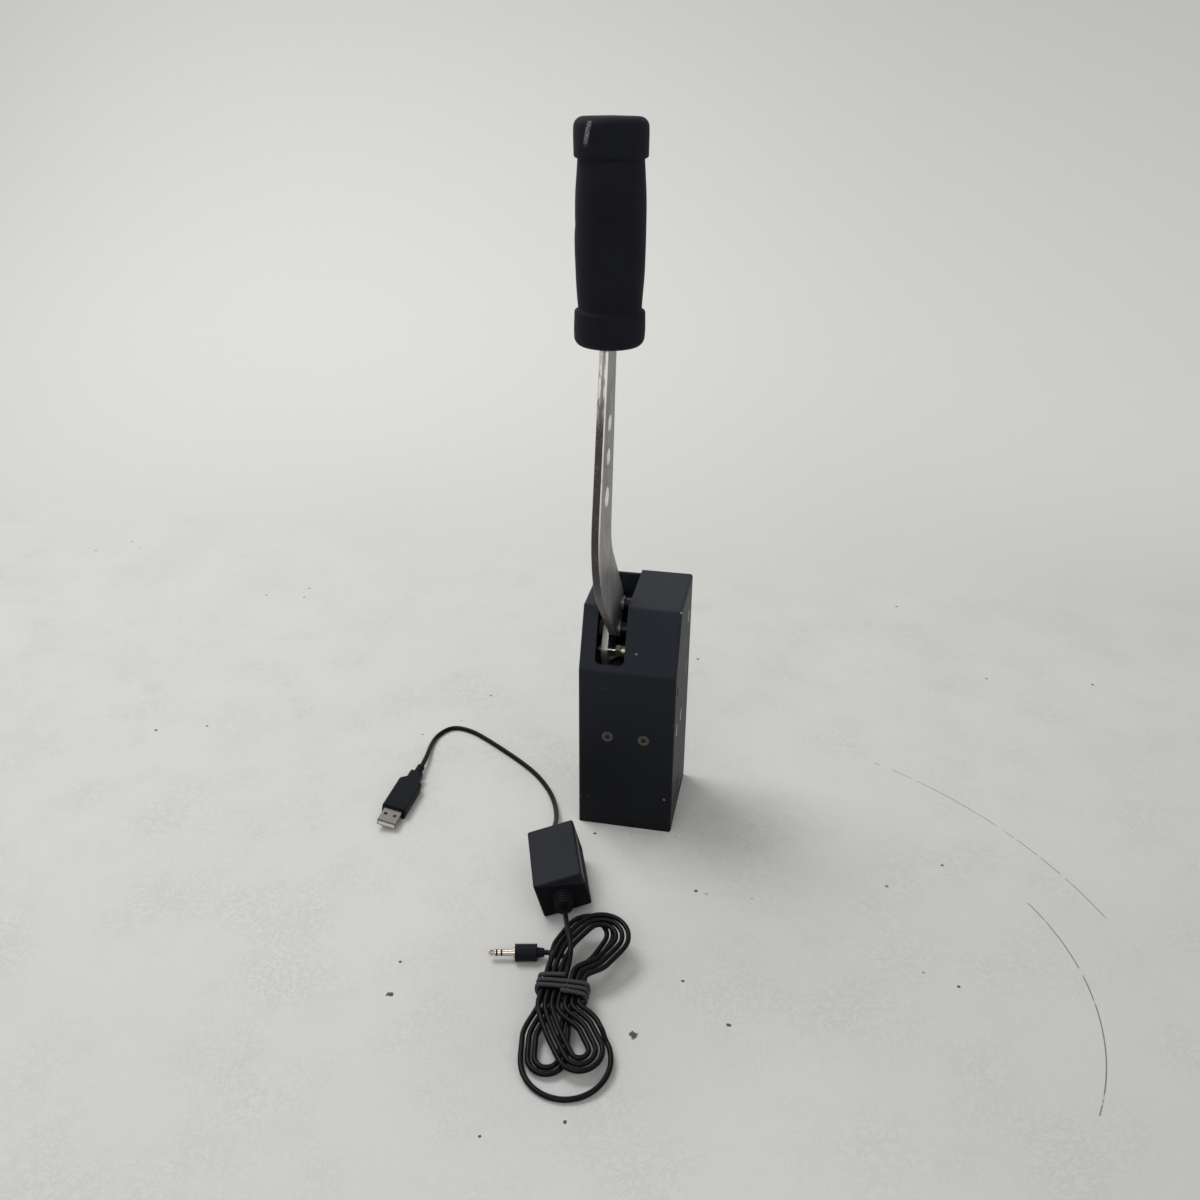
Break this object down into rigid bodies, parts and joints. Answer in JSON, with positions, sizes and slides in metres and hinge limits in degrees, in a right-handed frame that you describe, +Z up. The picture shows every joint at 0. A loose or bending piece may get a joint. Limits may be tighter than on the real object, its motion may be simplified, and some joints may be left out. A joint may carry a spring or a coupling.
{
  "type": "sim racing handbrake",
  "caption": "Sim racing handbrake: black folded-steel housing, upright steel lever with foam grip, load-cell plunger inside, lead with inline adapter, USB plug and hanked jack lead",
  "frame": {"origin": "centre of the housing's base face", "axes": "+X to the right of the housing seen from its front, +Y to its back, +Z up; the driver pulls the lever towards -Y"},
  "size_m": [0.1868, 0.3015, 0.4179],
  "materials": {
    "black_coat": "satin",
    "brushed_steel": "satin",
    "bright_steel": "satin",
    "screw_steel": "satin",
    "zinc_steel": "satin",
    "dark_steel": "satin",
    "plain_aluminium": "matte",
    "bronze": "satin",
    "brass": "satin",
    "gold_contact": "gloss",
    "plug_steel": "gloss",
    "black_foam": "matte",
    "black_rubber": "matte",
    "black_jacket": "satin",
    "red_elastomer": "satin",
    "black_plastic": "matte",
    "pale_plastic": "satin",
    "green_board": "satin",
    "grey_tie": "matte"
  },
  "bodies": {
    "base": {"housing_shell": "black_coat", "rear_cover": "black_coat", "base_block": "plain_aluminium", "load_block": "plain_aluminium", "front_screws": "screw_steel", "block_side_screws": "screw_steel", "base_side_screws": "screw_steel", "cover_side_screws": "screw_steel", "rear_screws": "screw_steel", "axle_screws": "screw_steel", "pivot_axle": "bright_steel", "axle_spacers": "plain_aluminium", "load_cell": "bright_steel", "elastomer": "red_elastomer", "guide_bush": "bronze", "return_spring": "bright_steel", "rest_stop": "black_rubber", "lead_socket": "black_plastic", "signal_board": "green_board", "board_standoffs": "brass", "board_screws": "screw_steel", "adapter_lower_shell": "black_plastic", "adapter_upper_shell": "black_plastic", "adapter_board": "green_board", "adapter_strain_relief": "black_rubber", "adapter_grommet": "black_rubber", "usb_lead": "black_jacket", "usb_plug_body": "black_plastic", "usb_shell": "plug_steel", "usb_tongue": "pale_plastic", "usb_contacts": "gold_contact", "jack_lead": "black_jacket", "jack_lead_hank": "black_jacket", "jack_lead_tail": "black_jacket", "hank_tie": "grey_tie", "jack_plug_body": "black_plastic", "jack_contacts": "gold_contact", "jack_insulators": "black_plastic"},
    "lever": {"lever_plate": "brushed_steel", "arm_plate": "bright_steel", "hub": "bright_steel", "hub_bushes": "bronze", "clamp_screws": "dark_steel", "clamp_washers": "bright_steel", "clamp_nuts": "screw_steel", "follower_bolt": "bright_steel", "follower_nut": "zinc_steel", "follower_clip": "dark_steel", "grip_core": "black_plastic", "grip_foam": "black_foam"},
    "roller": {"follower_roller": "brass"},
    "plunger": {"plunger": "bright_steel"}
  },
  "joints": [
    {"name": "lever_pivot", "type": "hinge", "parent": "base", "child": "lever", "pos_m": [0, 0.017, 0.095], "axis": [1, 0, 0], "range_deg": [0, 22], "stiffness_Nm_per_rad": 40, "springref_deg": -2.86},
    {"name": "roller_spin", "type": "hinge", "parent": "lever", "child": "roller", "pos_m": [-0.0071, 0.004, 0.108], "axis": [1, 0, 0], "continuous": true},
    {"name": "plunger_slide", "type": "slide", "parent": "base", "child": "plunger", "axis": [0, 0, -1], "range_m": [0, 0.0058], "deforming": ["return_spring", "elastomer"]}
  ],
  "couplings": [
    {"joint": "plunger_slide", "follows": "lever_pivot", "m_per_rad": 0.0151}
  ]
}
